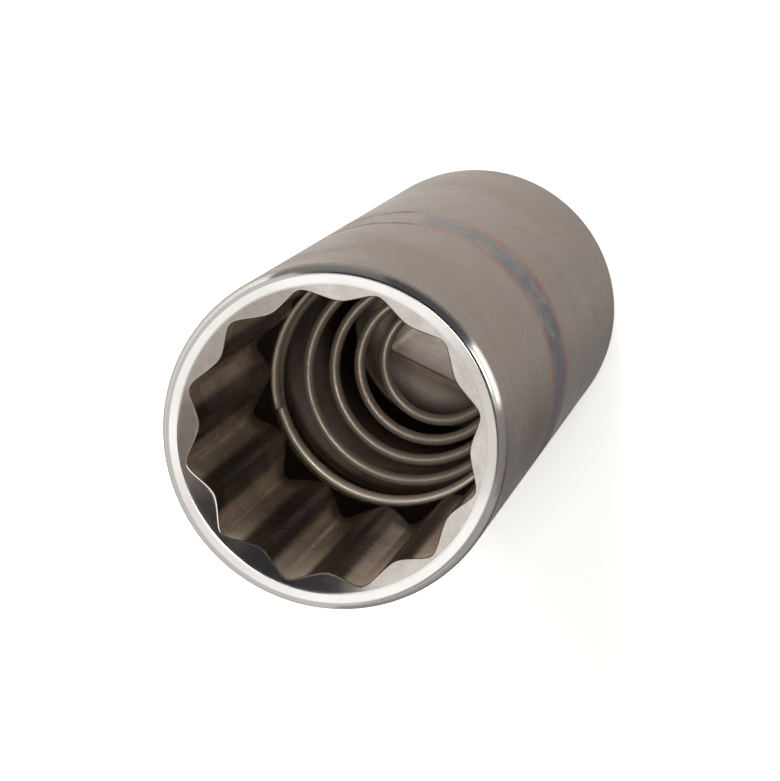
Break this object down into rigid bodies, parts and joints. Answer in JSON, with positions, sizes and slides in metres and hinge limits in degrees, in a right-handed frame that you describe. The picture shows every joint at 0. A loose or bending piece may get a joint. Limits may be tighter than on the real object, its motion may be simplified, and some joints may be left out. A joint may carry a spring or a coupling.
{
  "type": "spark plug socket",
  "caption": "Deep spark plug socket: straight chromed body with a bi-hex mouth, a square drive and a conical wire spring in the bore that holds the plug.",
  "frame": {"origin": "centre of the drive face, at the bottom", "axes": "+Z along the axis from the drive face to the mouth, +X and +Y square to the walls of the drive"},
  "size_m": [0.0276, 0.0276, 0.0675],
  "materials": {
    "chromed_steel": "satin chrome",
    "spring_wire": "oiled spring wire"
  },
  "bodies": {
    "root": {"socket_body": "chromed_steel", "retaining_spring": "spring_wire"}
  },
  "joints": []
}
